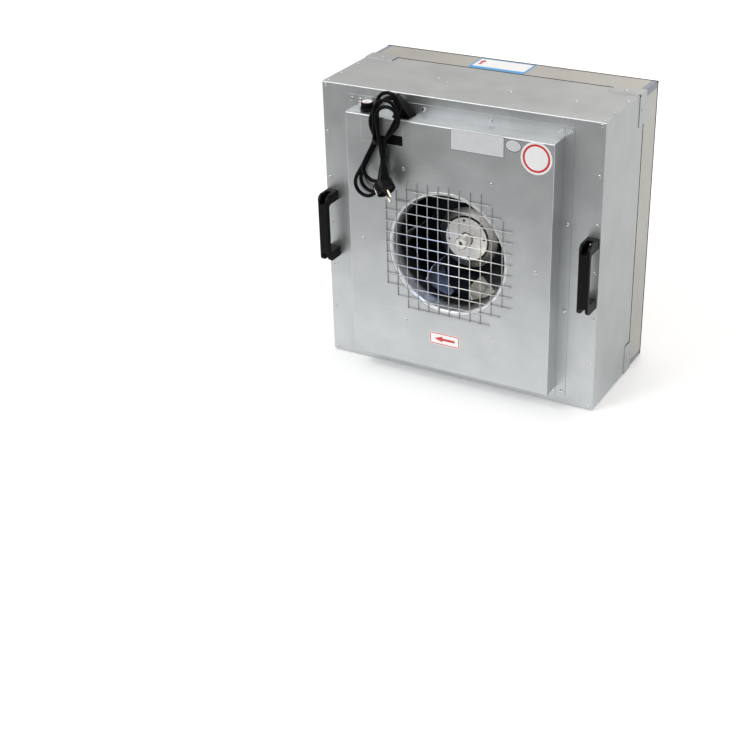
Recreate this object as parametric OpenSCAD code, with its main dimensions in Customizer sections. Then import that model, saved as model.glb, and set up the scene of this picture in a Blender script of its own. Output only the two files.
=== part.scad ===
// Fan filter unit: a sheet casing with a raised fan cover on its inlet side and a
// pleated filter in an aluminium frame on its outlet side. It stands on a narrow
// wall, inlet side towards -Y, outlet side towards +Y. Millimetres, +Z up.

/* [Casing] */
// Width of the casing across its front plate
unit_w = 575; // [540:5:640]
// Height of the casing as it stands
unit_h = 575; // [565:5:640]
// Depth of the sheet casing, from the front plate to its free edge
shell_d = 187; // [165:1:230]
// Thickness of the casing sheet
sheet_t = 1.2; // [0.8:0.1:1.8]
// Outside radius of the bent sheet edges
bend_r = 2.4; // [2:0.1:4]
// Width of the flanges folded in from the side panels
fold_w = 15; // [12:1:24]
// Width of the opening in the front plate
port_w = 396; // [360:2:410]
// Height of the opening in the front plate
port_h = 470; // [360:2:490]

/* [Corner tabs] */
// Length of a corner tab along its wall
tab_w = 60; // [40:1:90]
// How far a tab reaches past the free edge, over the filter frame
tab_reach = 10; // [6:1:20]
// Distance from the free edge back to the tab's step
step_back = 22; // [16:1:30]
// Rounded corner of a tab
tab_r = 7; // [3:1:12]
// Width of the slit beside a tab
slit_w = 1.6; // [1:0.2:3]

/* [Raised cover] */
// Width of the cover's raised box
cover_w = 424; // [420:2:440]
// Height of the cover's raised box
cover_h = 503; // [495:1:515]
// How far the cover stands out from the front plate
cover_d = 45; // [40:1:60]
// Width of the cover's mounting flange
cover_flange = 19; // [15:1:22]

/* [Inlet] */
// Radius of the round hole in the cover
mouth_r = 125; // [121:1:132]
// Inside radius of the inlet ring's throat
throat_r = 113; // [104:1:117]
// Length of the bell-shaped part of the inlet ring
bell_d = 26; // [18:1:32]
// Outside radius of the inlet ring's flat flange
ring_r = 192; // [186:1:200]
// Pitch circle radius of the cover's rivets
rivet_circle_r = 181.5; // [176:0.5:184]
// Wire diameter of the guard
guard_wire = 2; // [1.5:0.1:3]
// Distance between the guard's wires
guard_pitch = 22.2; // [20:0.2:24]

/* [Fan] */
// Outside radius of the fan wheel
wheel_r = 158; // [145:1:170]
// Depth of the wheel from its eye to its back plate
wheel_d = 91; // [80:1:100]
// Running gap between the inlet ring and the wheel's eye
eye_gap = 1.8; // [1:0.1:3]
// How far the inlet ring reaches into the eye
eye_overlap = 4; // [2:0.5:8]
// Depth of the curved shroud
shroud_d = 28; // [20:1:36]
// Number of blades
blade_n = 7; // [5:1:11]
// Thickness of the wheel's sheet
wheel_t = 1.5; // [1:0.1:2]
// Radius of the blades' curve
blade_curve = 75; // [70:1:85]
// Radius of the rotor can
can_r = 62; // [58:1:70]
// Depth of the rotor's end disc behind the front plate
rotor_in = 37.5; // [34:0.5:42]
// Radius of the rotor's end disc
disc_r = 44; // [40:1:47]
// Length of the boss on the end disc
boss_l = 25; // [18:1:28]
// Radius of the fan shaft
shaft_r = 4.5; // [4:0.1:6]
// Running clearance round the shaft
shaft_gap = 0.05; // [0.03:0.01:0.1]
// Distance between the two motor rails
rail_pitch = 132; // [110:1:150]
// Width of a motor rail
rail_w = 30; // [24:1:40]
// Depth of a motor rail
rail_d = 20; // [14:1:26]

/* [Filter] */
// Depth of the filter frame
frame_d = 64; // [50:1:80]
// Wall thickness of the frame profile
frame_t = 2; // [1.4:0.1:3]
// Width of the frame profile's flanges
frame_flange = 20; // [18:1:26]
// Side of a corner post
post_w = 12; // [9:0.5:17]
// Outside radius of a corner post
post_r = 3; // [1:0.5:5]
// Width of the seals on the frame
seal_w = 17; // [12:1:18]
// Thickness of the inlet side seal as fitted
seal_in_t = 4; // [3:0.5:8]
// Thickness of the outlet side seal
seal_out_t = 5; // [3:0.5:8]
// Distance between pleats
pleat_pitch = 7; // [5:0.5:12]
// Thickness of the folded paper, measured along the fold's depth
pleat_t = 8; // [5:0.5:12]

/* [Handles] */
// Length of a handle
handle_l = 140; // [120:1:180]
// Width of a handle
handle_w = 22; // [18:1:24]
// Height of a handle above the front plate
handle_h = 43; // [36:1:50]
// Length of a handle's foot
foot_l = 20; // [18:1:26]
// Thickness of the grip
grip_t = 8; // [6:0.5:10]
// Distance from the casing's side to the handle
handle_inset = 2.5; // [2:0.5:6]

/* [Controls] */
// Distance of the speed knob from the middle
knob_x = 176.5; // [168:0.5:190]
// Radius of the knob's skirt
knob_r = 13.5; // [10:0.5:18]
// Height of the knob
knob_h = 17; // [12:1:24]
// Distance of the power inlet from the middle
inlet_x = 98.5; // [90:0.5:105]
// Width of the power inlet's flange
inlet_w = 34; // [30:1:40]
// Depth of the power inlet's flange
inlet_d = 30; // [26:1:34]

/* [Hidden] */
$fn = 96;

// Small amounts: cuts run past a face by eps, parts that only touch lie fit apart
eps = 1;
fit = 0.2;
joint = 0.05;

// Fasteners
rivet_r = 3.2;
rivet_h = 1.4;
front_rivet_n = 7;
front_rivet_inset = 7.5;
front_rivet_end = 6;
edge_rivet_y = [9, 57, 122];
tab_rivet_inset = 32;
top_rivets = [[196, 84.8], [-91.4, 101]];
screw_r = 4.2;
screw_h = 2.6;
top_screw_pitch = 136;

// The unit stands on the rivets in its bottom tabs, which lie over its bottom wall
base_z = rivet_h + sheet_t;
mid_z = base_z + unit_h / 2;
half_w = unit_w / 2;
half_h = unit_h / 2;

// Depths, all from the front plate's outer face; the row's origin is half way through
guard_stack = 2 * guard_wire + 0.1;
front_reach = max(cover_d + guard_stack, handle_h);
back_reach = shell_d + seal_in_t + frame_d + seal_out_t;
plate_y = (front_reach - back_reach) / 2;
face_y = plate_y - cover_d;
free_y = plate_y + shell_d;
step_y = free_y - step_back;
frame_y = free_y + seal_in_t;
frame_end_y = frame_y + frame_d;

// Raised cover
cover_top_z = mid_z + cover_h / 2;
control_y = plate_y - cover_d / 2;

// Inlet ring and guard
bead_w = 4;
eye_front = 1;
ring_end_y = plate_y + eye_overlap + eye_front;
guard_n = 12;
guard_corner_n = 4;
guard_offset = 4;
guard_trim = 3.3;

// Fan wheel
eye_r = throat_r + sheet_t + eye_gap;
eye_y = plate_y + eye_front;
back_y = eye_y + wheel_d;
blade_in_r = eye_r - 18;
blade_out_r = wheel_r - 2;
blade_centre = blade_curve + 20;
blade_phase = 13;
disc_y = plate_y + rotor_in;
can_rim_y = back_y + 3;
disc_t = 8;
gap_w = 4;
gap_d = 7;
shoulder_d = 9;
can_wall = 3;
core_t = 12;
core_y = disc_y + disc_t + shoulder_d;
core_l = can_rim_y - core_y - 0.5;
screw_circle_r = disc_r - 6;
screw_turn = 8;

// Motor mount
stator_r = can_r - can_wall - core_t - 1;
flange_y = can_rim_y + 8;
motor_plate_y = flange_y + 4;
motor_plate_t = 2;
rail_y = motor_plate_y + motor_plate_t;
wall_rivet_in = 85.5;
wall_rivet_y = plate_y + wall_rivet_in;
rail_fold_end = 10;
motor_plate_h = 120;
rail_t = 1.5;
capacitor_r = 15;
capacitor_l = 70;
capacitor_drop = 180;

// Handle
handle_bend = 15;
handle_inner_bend = 7;
handle_edge = 3;
slot_w = 12;
slot_l = 18;
slot_floor = 14;
handle_x = half_w - handle_inset - handle_w / 2;
handle_screw_z = handle_l / 2 - foot_l / 2;

// Controls
control_thread_r = 4.5;
control_shaft_r = 3;
control_body_r = 12;
inlet_hole_w = inlet_w - 7;
inlet_hole_d = inlet_d - 8;
inlet_flange_t = 3;
inlet_body_h = 22;

// Cord: connector, tied hank and its strap
cord_d = 7;
cord_sides = 10;
cord_clear = 0.3;
connector_h = 40;
connector_w = inlet_w;
connector_d = 24;
connector_z = cover_top_z + inlet_flange_t;
outlet = [-inlet_x - connector_w / 2, control_y, connector_z + 30];
tie_t = 1.2;
tie_h = 9;
hank_t = 3 * cord_d;
hank_back_y = face_y - 2 * cord_clear - tie_t;
hank_front_y = hank_back_y - hank_t;
neck_w = 26;
neck_x = outlet[0] - 15.5;
neck_z = cover_top_z - 40.5;
// The lead's route from the connector's outlet to the hank's neck, as steps from the
// outlet: across, share of the way out to the hank's middle, up
lead_out = outlet[1] - hank_back_y + hank_t / 2;
lead_route = [[0, 0, 0], [-10, 0, -0.5], [-21, 0.13, -4], [-31, 0.35, -12], [-38, 0.61, -25],
    [-40.5, 0.82, -39], [-38.5, 0.93, -52], [-35, 0.98, -61], [-31, 1, -64.5]];
// The tail's route from the front of the hank to the plug, as steps from its start
tail_start = [neck_x + 10, hank_front_y - cord_d / 2, neck_z - 10];
tail_route = [[0, 0, 0], [2, -4, -8], [5, -5.5, -19], [7, -6, -31], [7.5, -6, -42]];
plug_r = 19;
plug_t = 20;
plug_tilt = 128;
plug_turn = -29;
plug_roll = -75;
grip_l = 16;
pin_r = 2.4;
pin_l = 19;
pin_gap = 19;

// Draws a flat shape in X and Z, and gives it a depth along +Y from y
module along_y(y, depth) {
    translate([0, y + depth, 0]) rotate([90, 0, 0]) linear_extrude(depth) children();
}

// Draws a flat shape in Y and Z, and gives it a length along X, centred
module along_x(length) {
    translate([-length / 2, 0, 0]) rotate([90, 0, 90]) linear_extrude(length) children();
}

// Turns a profile of radius and depth round the fan's axis, from y
module round_y(y) {
    translate([0, y, mid_z]) rotate([-90, 0, 0]) rotate_extrude() children();
}

// A block centred on X, from y and centred on mid height
module slab(w, d, h, y) {
    translate([-w / 2, y, mid_z - h / 2]) cube([w, d, h]);
}

// A channel outline: depth along X, closed at x = 0 with rounded corners
module channel_outline(depth, height, r) {
    translate([r, 0]) square([depth - r, height]);
    translate([0, r]) square([depth, height - 2 * r]);
    for (h = [r, height - r]) translate([r, h]) circle(r);
}

// A box that is open towards +Y, with its front edges rounded
module pan_solid(w, d, h, y, r) {
    intersection() {
        translate([0, y, mid_z - h / 2]) along_x(w) channel_outline(d, h, r);
        translate([-w / 2, y, mid_z - h / 2]) linear_extrude(h)
            rotate(90) mirror([0, 1]) channel_outline(d, w, r);
    }
}

// ---- Casing ----

// One corner tab on the wall above a box of the given half width and half height
module corner_tab(half, wall, overhang) {
    length = step_back + tab_reach + sheet_t;
    translate([half - tab_w, step_y - sheet_t, wall]) linear_extrude(sheet_t) difference() {
        square([tab_w + overhang, length]);
        translate([0, length - tab_r]) difference() {
            translate([-eps, 0]) square([tab_r + eps, tab_r + eps]);
            translate([tab_r, 0]) circle(tab_r);
        }
    }
}

// The sheet that is cut away under a corner tab, with the slit beside it
module corner_cut(half, wall) {
    translate([half - tab_w - slit_w, step_y, wall - fold_w - eps])
        cube([tab_w + slit_w + eps, step_back + eps, fold_w + eps]);
}

// The small relief hole where two tabs' steps meet
module corner_relief(half, wall) {
    translate([half - 3, step_y - 4, wall - 3]) cube([6, 6, 6]);
}

// Repeats a shape for the top wall at the bottom wall, left and right
module top_and_bottom() {
    translate([0, 0, mid_z])
        for (flip = [0, 1]) mirror([0, 0, flip])
            for (side = [0, 1]) mirror([side, 0, 0]) children();
}

// Repeats a shape for the top wall at both ends of the right side wall
module right_wall_ends() {
    translate([0, 0, mid_z]) rotate([0, 90, 0])
        for (side = [0, 1]) mirror([side, 0, 0]) children();
}

module port_outline() {
    r = 12;
    square([port_w, port_h - 2 * r], center = true);
    square([port_w - 2 * r, port_h], center = true);
    for (x = [-1, 1], z = [-1, 1])
        translate([x * (port_w / 2 - r), z * (port_h / 2 - r)]) circle(r);
}

// Outline of the space inside the wrap, from its outer corner
module wrap_inside() {
    translate([sheet_t, sheet_t]) channel_outline(shell_d, unit_h - 2 * sheet_t, bend_r - sheet_t);
}

// Front plate, top wall and bottom wall, bent from one sheet
module casing_wrap() {
    color("gainsboro") {
        difference() {
            translate([0, plate_y, base_z]) along_x(unit_w) difference() {
                channel_outline(shell_d, unit_h, bend_r);
                wrap_inside();
            }
            along_y(plate_y - eps, sheet_t + 2 * eps) translate([0, mid_z]) port_outline();
            top_and_bottom() corner_cut(half_w, half_h);
        }
        difference() {
            top_and_bottom() corner_tab(half_w, half_h, sheet_t);
            top_and_bottom() corner_relief(half_w, half_h);
        }
    }
}

// Side panel with its flanges folded in behind the plate and under the walls
module side_panel() {
    depth = shell_d - step_back - sheet_t;
    color("silver") difference() {
        union() {
            intersection() {
                translate([half_w - fold_w, plate_y + sheet_t, base_z + sheet_t]) {
                    linear_extrude(unit_h - 2 * sheet_t) difference() {
                        translate([fold_w, 0]) mirror([1, 0]) panel_outline();
                        translate([-eps, sheet_t]) square([fold_w - sheet_t + eps, shell_d]);
                    }
                    for (z = [0, unit_h - 3 * sheet_t]) translate([0, 0, z])
                        cube([fold_w, depth, sheet_t]);
                }
                translate([0, plate_y, base_z]) along_x(unit_w + eps) wrap_inside();
            }
            right_wall_ends() corner_tab(half_h, half_w, 0);
        }
        right_wall_ends() corner_cut(half_h, half_w);
        right_wall_ends() corner_relief(half_h, half_w);
    }
}

// Outline of the side panel from above: its front edge is bent at the corner
module panel_outline() {
    depth = shell_d - sheet_t;
    translate([bend_r, 0]) square([fold_w - bend_r, depth]);
    translate([0, bend_r]) square([fold_w, depth - bend_r]);
    translate([bend_r, bend_r]) circle(bend_r);
}

module side_panel_right() {
    side_panel();
}

module side_panel_left() {
    mirror([1, 0, 0]) side_panel();
}

// ---- Raised cover, inlet and guard ----

module raised_cover() {
    seam = 0.6;
    foot_notch = 3;
    color("lightgray") difference() {
        union() {
            pan_solid(cover_w, cover_d, cover_h, face_y, bend_r);
            slab(cover_w + 2 * cover_flange, sheet_t, cover_h + 2 * cover_flange, plate_y - sheet_t);
        }
        pan_solid(cover_w - 2 * sheet_t, cover_d + eps, cover_h - 2 * sheet_t, face_y + sheet_t,
            bend_r - sheet_t);
        along_y(face_y - eps, sheet_t + 2 * eps) translate([0, mid_z]) circle(mouth_r);
        for (x = [-1, 1], z = [-1, 1]) {
            translate([x * cover_w / 2 - seam / 2, plate_y - sheet_t - eps,
                mid_z + z * (cover_h + cover_flange) / 2 - cover_flange / 2])
                cube([seam, sheet_t + 2 * eps, cover_flange + (z > 0 ? eps : 0)]);
            translate([x * cover_w / 2 - foot_notch / 2, plate_y - sheet_t - eps,
                mid_z + z * cover_h / 2 - foot_notch / 2])
                cube([foot_notch, sheet_t + 2 * eps, foot_notch]);
        }
        translate([-knob_x, control_y, cover_top_z - sheet_t - eps])
            cylinder(r = control_thread_r + fit, h = sheet_t + 2 * eps);
        translate([-inlet_x, control_y, cover_top_z - sheet_t / 2])
            cube([inlet_hole_w, inlet_hole_d, sheet_t + 2 * eps], center = true);
    }
}

// Spun ring: flat flange behind the cover, rolled lip, bell and throat
module inlet_ring() {
    steps = 8;
    t = sheet_t;
    lip_r = mouth_r - fit;
    crest_r = lip_r - bead_w;
    bell_w = crest_r - throat_r;
    depth = ring_end_y - face_y;
    outer_w = bell_w - t;
    color("whitesmoke") round_y(face_y) polygon(concat(
        [[ring_r, t]],
        [for (a = [0:90 / 4:90]) [crest_r + bead_w * cos(a), t * (1 - sin(a))]],
        [for (a = [90 / steps:90 / steps:90]) [crest_r - bell_w * sin(a), bell_d * (1 - cos(a))]],
        [[throat_r, depth], [throat_r + t, depth]],
        [for (a = [90:-90 / steps:0]) [crest_r - outer_w * sin(a), t + (bell_d - t) * (1 - cos(a))]],
        [[lip_r, 2 * t], [ring_r, 2 * t]]));
}

// Welded wire guard: two layers of straight wires, cut so that each square keeps its
// left and lower wire, with stepped corners
module mesh_guard() {
    end = 1;
    module wire(k) {
        n = min(guard_n / 2, guard_corner_n + min(k, guard_n - 1 - k));
        translate([(k - guard_n / 2) * guard_pitch, 0, -n * guard_pitch - end])
            cylinder(r = guard_wire / 2, h = 2 * n * guard_pitch + end - guard_trim, $fn = 24);
    }
    color("gainsboro") translate([guard_offset, face_y, mid_z + guard_offset])
        for (k = [0:guard_n - 1]) {
            translate([0, -guard_wire / 2 - 0.02, 0]) wire(k);
            translate([0, -guard_wire * 1.5 - 0.06, 0]) mirror([1, 0, -1]) wire(k);
        }
}

// Domed rivet head with the pulled stem's dimple, its seat at the origin, pointing along +Z
module rivet_head() {
    rotate_extrude($fn = 24) polygon([[0, 0], [rivet_r, 0], [rivet_r, rivet_h * 0.35],
        [rivet_r * 0.75, rivet_h * 0.8], [rivet_r * 0.4, rivet_h], [rivet_r * 0.3, rivet_h * 0.6],
        [0, rivet_h * 0.6]]);
}

// Pan head screw with a driver recess, its seat at the origin, pointing along +Z
module screw_head(r, h) {
    difference() {
        rotate_extrude($fn = 32) polygon([[0, 0], [r, 0], [r, h * 0.45], [r * 0.8, h * 0.85],
            [r * 0.45, h], [0, h]]);
        for (a = [0, 90]) rotate(a) translate([-r * 0.5, -r * 0.1, h * 0.5]) cube([r, r * 0.2, h]);
    }
}

// Turns a head so that it points out of the front, from y
module facing_front(x, y, z) {
    translate([x, y, z]) rotate([90, 0, 0]) children();
}

// Screws of the cover's flange: four along each edge
module cover_screws() {
    edge_x = cover_w / 2 + cover_flange * 0.55;
    edge_z = cover_h / 2 + cover_flange * 0.55;
    side_pitch = edge_z * 2 / 3;
    y = plate_y - sheet_t;
    color("white") {
        for (z = [-1, 1], k = [-1.5:1.5])
            facing_front(k * top_screw_pitch, y, mid_z + z * edge_z) screw_head(screw_r, screw_h);
        for (x = [-1, 1], k = [-1.5:1.5])
            facing_front(x * edge_x, y, mid_z + k * side_pitch) screw_head(screw_r, screw_h);
    }
}

// Rivets that hold the inlet ring to the cover
module cover_rivets() {
    color("white") for (a = [0:60:300])
        facing_front(rivet_circle_r * cos(a), face_y, mid_z + rivet_circle_r * sin(a)) rivet_head();
}

// Rivets that hold the wrap to the side panels, and the motor rails to the walls
module casing_rivets() {
    x_edge = half_w - front_rivet_inset;
    pitch = (unit_h - 2 * front_rivet_end) / (front_rivet_n - 1);
    color("white") {
        for (x = [-1, 1], i = [0:front_rivet_n - 1])
            facing_front(x * x_edge, plate_y, base_z + front_rivet_end + i * pitch) rivet_head();
        top_and_bottom() {
            for (y = edge_rivet_y) translate([x_edge, plate_y + y, half_h]) rivet_head();
            translate([rail_pitch / 2, wall_rivet_y, half_h]) rivet_head();
        }
        for (place = top_rivets)
            translate([place[0], plate_y + place[1], mid_z + half_h]) rivet_head();
    }
}

// One rivet in each corner tab
module tab_rivets() {
    y = free_y - step_back * 0.45;
    color("white") {
        top_and_bottom() translate([half_w - tab_rivet_inset, y, half_h + sheet_t]) rivet_head();
        for (side = [0, 1]) mirror([side, 0, 0]) right_wall_ends()
            translate([half_h - tab_rivet_inset, y, half_w + sheet_t]) rivet_head();
    }
}

// ---- Handles and controls ----

// Side view of a handle: an arch with rounded shoulders
module handle_outline() {
    r = handle_bend;
    inner = handle_l - 2 * foot_l;
    q = handle_inner_bend;
    clear = handle_h - grip_t;
    translate([-handle_h, 0]) difference() {
        union() {
            translate([0, r - handle_l / 2]) square([handle_h, handle_l - 2 * r]);
            translate([r, -handle_l / 2]) square([handle_h - r, handle_l]);
            for (z = [-1, 1]) translate([r, z * (handle_l / 2 - r)]) circle(r);
        }
        translate([grip_t, q - inner / 2]) square([clear + eps, inner - 2 * q]);
        translate([grip_t + q, -inner / 2]) square([clear - q + eps, inner]);
        for (z = [-1, 1]) translate([grip_t + q, z * (inner / 2 - q)]) circle(q);
    }
}

// Bow handle with recessed screws at both ends and a hollow grip
module handle() {
    groove = 4;
    color([0.08, 0.08, 0.09]) translate([handle_x, plate_y, mid_z]) difference() {
        intersection() {
            along_x(handle_w) handle_outline();
            translate([0, -handle_h, -handle_l / 2]) linear_extrude(handle_l)
                rotate(90) translate([0, -handle_w / 2])
                    channel_outline(handle_h, handle_w, handle_edge);
        }
        for (z = [0, 1]) mirror([0, 0, z])
            translate([-slot_w / 2, -handle_h - eps, handle_l / 2 - slot_l])
                cube([slot_w, handle_h - slot_floor + eps, slot_l + eps]);
        translate([-slot_w / 2, groove - handle_h, foot_l + groove - handle_l / 2])
            cube([slot_w, grip_t, handle_l - 2 * foot_l - 2 * groove]);
    }
}

module handle_right() {
    handle();
}

module handle_left() {
    mirror([1, 0, 0]) handle();
}

module handle_screws() {
    color("silver") for (x = [-1, 1], z = [-1, 1])
        facing_front(x * handle_x, plate_y - slot_floor, mid_z + z * handle_screw_z)
            screw_head(screw_r, screw_h + 1);
}

// Appliance inlet in the cover's top wall
module power_inlet() {
    color([0.1, 0.1, 0.1]) translate([-inlet_x, control_y, cover_top_z]) {
        translate([-inlet_w / 2, -inlet_d / 2, 0]) cube([inlet_w, inlet_d, inlet_flange_t]);
        translate([fit - inlet_hole_w / 2, fit - inlet_hole_d / 2, -inlet_body_h])
            cube([inlet_hole_w - 2 * fit, inlet_hole_d - 2 * fit, inlet_body_h]);
    }
}

// Speed regulator: body inside the cover, threaded neck through it, nut on top
module speed_control() {
    body_h = 14;
    nut_h = 2;
    color("dimgray") translate([-knob_x, control_y, cover_top_z]) difference() {
        union() {
            translate([0, 0, -sheet_t - body_h]) cylinder(r = control_body_r, h = body_h);
            translate([0, 0, -sheet_t]) cylinder(r = control_thread_r, h = sheet_t + nut_h);
            cylinder(r = control_thread_r + 2.5, h = nut_h, $fn = 6);
        }
        translate([0, 0, -sheet_t - body_h + 3])
            cylinder(r = control_shaft_r + shaft_gap, h = body_h + sheet_t + nut_h);
    }
}

// Knob with a fluted skirt and a bright cap, on its own shaft
module speed_knob() {
    lift = 2.5;
    flutes = 24;
    taper = 1.2;
    color([0.1, 0.1, 0.1]) translate([-knob_x, control_y, cover_top_z]) {
        difference() {
            translate([0, 0, lift]) rotate_extrude() polygon([[0, 0], [knob_r, 0], [knob_r, 2],
                [knob_r - 1, 3], [knob_r - taper - 1, knob_h - lift - 1.5],
                [knob_r - taper - 2.5, knob_h - lift], [0, knob_h - lift]]);
            for (i = [0:flutes - 1]) rotate(i * 360 / flutes)
                translate([knob_r - 1.2, 0, lift + 3.5]) cylinder(r = 1.3, h = knob_h, $fn = 16);
        }
        translate([0, 0, -sheet_t - 8]) cylinder(r = control_shaft_r, h = sheet_t + 8 + lift + eps);
    }
}

// ---- Fan ----

// External rotor: end disc, gap ring, sloping shoulder, can and rim
module rotor_can() {
    rim = 8;
    rim_t = 3;
    bore = shaft_r + shaft_gap;
    gap_r = disc_r + gap_w;
    depth = can_rim_y - disc_y;
    color("silver") round_y(disc_y) polygon([[bore, 0], [disc_r, 0], [disc_r, gap_d], [gap_r, gap_d],
        [gap_r, 1], [can_r, 1 + shoulder_d], [can_r, depth - rim_t], [can_r + rim, depth - rim_t],
        [can_r + rim, depth], [can_r - can_wall, depth], [can_r - can_wall, disc_t + shoulder_d - 3],
        [gap_r, disc_t + 1], [bore, disc_t + 1]]);
}

// Turned boss in the middle of the end disc
module rotor_boss() {
    bore = shaft_r + shaft_gap;
    end_r = 12.5;
    color("silver") round_y(disc_y - boss_l) polygon([[bore, 0], [end_r - 1, 0], [end_r, 1],
        [end_r, boss_l - 1.5], [end_r + 1.5, boss_l], [bore, boss_l]]);
}

// Ring of laminations inside the can
module rotor_core() {
    outer = can_r - can_wall - shaft_gap;
    color("dimgray") round_y(core_y)
        polygon([[outer - core_t, 0], [outer, 0], [outer, core_l], [outer - core_t, core_l]]);
}

module rotor_shaft() {
    start = 8;
    color("gray") round_y(disc_y - boss_l + start)
        polygon([[0, 0], [shaft_r, 0], [shaft_r, motor_plate_y - fit - disc_y + boss_l - start],
            [0, motor_plate_y - fit - disc_y + boss_l - start]]);
}

module rotor_screws() {
    color("gray") for (a = [0:90:270]) {
        turn = a + screw_turn;
        facing_front(screw_circle_r * cos(turn), disc_y, mid_z + screw_circle_r * sin(turn))
            screw_head(2.6, 1.6);
    }
}

// Point on the shroud's air side, for an angle from 0 at the eye to 90 at the rim
function shroud_point(a, r0, d) = [r0 + (wheel_r - r0) * (1 - cos(a)), d * sin(a)];

module impeller_shroud() {
    steps = 8;
    color("silver") round_y(eye_y) polygon(concat(
        [for (i = [0:steps]) shroud_point(i * 90 / steps, eye_r, shroud_d)],
        [for (i = [steps:-1:0]) shroud_point(i * 90 / steps, eye_r + wheel_t, shroud_d - wheel_t)]));
}

// Flat back plate, clamped on the rotor's rim
module impeller_backplate() {
    color("silver") round_y(back_y) polygon([[can_r + shaft_gap, -wheel_t], [wheel_r, -wheel_t],
        [wheel_r, 0], [can_r + shaft_gap, 0]]);
}

// Flat outline of one backward curved blade
module blade_outline() {
    intersection() {
        translate([blade_centre, 0]) difference() {
            circle(blade_curve + wheel_t / 2);
            circle(blade_curve - wheel_t / 2);
        }
        square([blade_out_r, blade_out_r]);
    }
}

// Blades between the shroud and the back plate, their inlet edges sloping into the eye
module impeller_blades() {
    steps = 8;
    slope_y = 30;
    color("silver") intersection() {
        for (i = [0:blade_n - 1]) translate([0, 0, mid_z])
            rotate([0, i * 360 / blade_n + blade_phase, 0]) mirror([1, 0, 0])
                along_y(eye_y, wheel_d - wheel_t) blade_outline();
        round_y(eye_y) polygon(concat(
            [[blade_in_r, wheel_d - wheel_t], [blade_in_r, slope_y]],
            [for (i = [2:steps]) shroud_point(i * 90 / steps, eye_r, shroud_d) + [-fit, fit]],
            [[blade_out_r, shroud_d + fit], [blade_out_r, wheel_d - wheel_t]]));
    }
}

module motor_stator() {
    bore = shaft_r + shaft_gap;
    depth = flange_y - disc_y - disc_t - 5;
    color("dimgray") round_y(disc_y + disc_t + 5) polygon([[bore, 0], [stator_r * 0.5, 0],
        [stator_r * 0.5, 8], [stator_r, 8], [stator_r, depth], [can_r - 6, depth],
        [can_r - 6, depth + 4], [bore, depth + 4]]);
}

// Plate that carries the motor on the two rails
module motor_plate() {
    w = rail_pitch + rail_w;
    color("silver") slab(w, motor_plate_t, motor_plate_h, motor_plate_y);
}

// Channel from wall to wall, with its ends folded along the walls
module motor_rail() {
    half = half_h - sheet_t;
    fold_y = wall_rivet_y - rail_fold_end;
    color("silver") translate([rail_pitch / 2, 0, mid_z]) {
        difference() {
            translate([-rail_w / 2, rail_y, -half]) cube([rail_w, rail_d, 2 * half]);
            translate([rail_t - rail_w / 2, rail_y + rail_t, -half - eps])
                cube([rail_w - 2 * rail_t, rail_d, 2 * half + 2 * eps]);
        }
        for (z = [-half, half - rail_t])
            translate([-rail_w / 2, fold_y, z]) cube([rail_w, rail_y - fold_y + eps, rail_t]);
    }
}

module motor_rail_right() {
    motor_rail();
}

module motor_rail_left() {
    mirror([1, 0, 0]) motor_rail();
}

// Motor capacitor on the outer side of the left rail
module capacitor() {
    x = -(rail_pitch + rail_w) / 2 - joint - capacitor_r;
    color("white") translate([x, rail_y + rail_d / 2, mid_z - capacitor_drop])
        cylinder(r = capacitor_r, h = capacitor_l);
}

// ---- Filter ----

// A ring of four straight strips with hairline joints at the corners
module strip_ring(strip_w, depth, y) {
    for (side = [-1, 1]) {
        translate([-half_w, y, mid_z + side * (half_h - strip_w / 2) - strip_w / 2])
            cube([unit_w, depth, strip_w]);
        translate([side * (half_w - strip_w / 2) - strip_w / 2, y, mid_z - half_h + strip_w + joint])
            cube([strip_w, depth, unit_h - 2 * strip_w - 2 * joint]);
    }
}

module seal_inlet_side() {
    color([0.15, 0.14, 0.13]) strip_ring(seal_w, seal_in_t, free_y);
}

module seal_outlet_side() {
    color([0.15, 0.14, 0.13]) strip_ring(seal_w, seal_out_t, frame_end_y);
}

// Channel along the top wall of a box of the given half width and half height,
// butted against the corner posts and mitred behind them
module frame_side(half, wall) {
    reach = half - post_w - joint;
    inner = half - frame_flange - joint;
    color([0.52, 0.53, 0.5]) translate([0, 0, mid_z]) intersection() {
        translate([0, frame_y, wall - frame_flange]) along_x(2 * half) difference() {
            square([frame_d, frame_flange]);
            translate([frame_t, -eps]) square([frame_d - 2 * frame_t, frame_flange - frame_t + eps]);
        }
        along_y(frame_y - eps, frame_d + 2 * eps) polygon([[-reach, wall + eps], [-reach, wall - post_w],
            [-inner, wall - frame_flange], [-inner, wall - frame_flange - eps],
            [inner, wall - frame_flange - eps], [inner, wall - frame_flange],
            [reach, wall - post_w], [reach, wall + eps]]);
    }
}

// Turns a frame side about the unit's middle
module turned(angle) {
    translate([0, 0, mid_z]) rotate([0, angle, 0]) translate([0, 0, -mid_z]) children();
}

module frame_top() {
    frame_side(half_w, half_h);
}

module frame_bottom() {
    turned(180) frame_side(half_w, half_h);
}

module frame_right() {
    turned(90) frame_side(half_h, half_w);
}

module frame_left() {
    turned(-90) frame_side(half_h, half_w);
}

// Corner posts with rounded outer edges
module corner_posts() {
    color([0.47, 0.5, 0.66]) for (x = [0, 1], z = [0, 1])
        translate([0, 0, mid_z]) mirror([x, 0, 0]) mirror([0, 0, z])
            along_y(frame_y, frame_d) translate([half_w - post_w, half_h - post_w]) {
                square([post_w - post_r, post_w]);
                square([post_w, post_w - post_r]);
                translate([post_w - post_r, post_w - post_r]) circle(post_r);
            }
}

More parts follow.
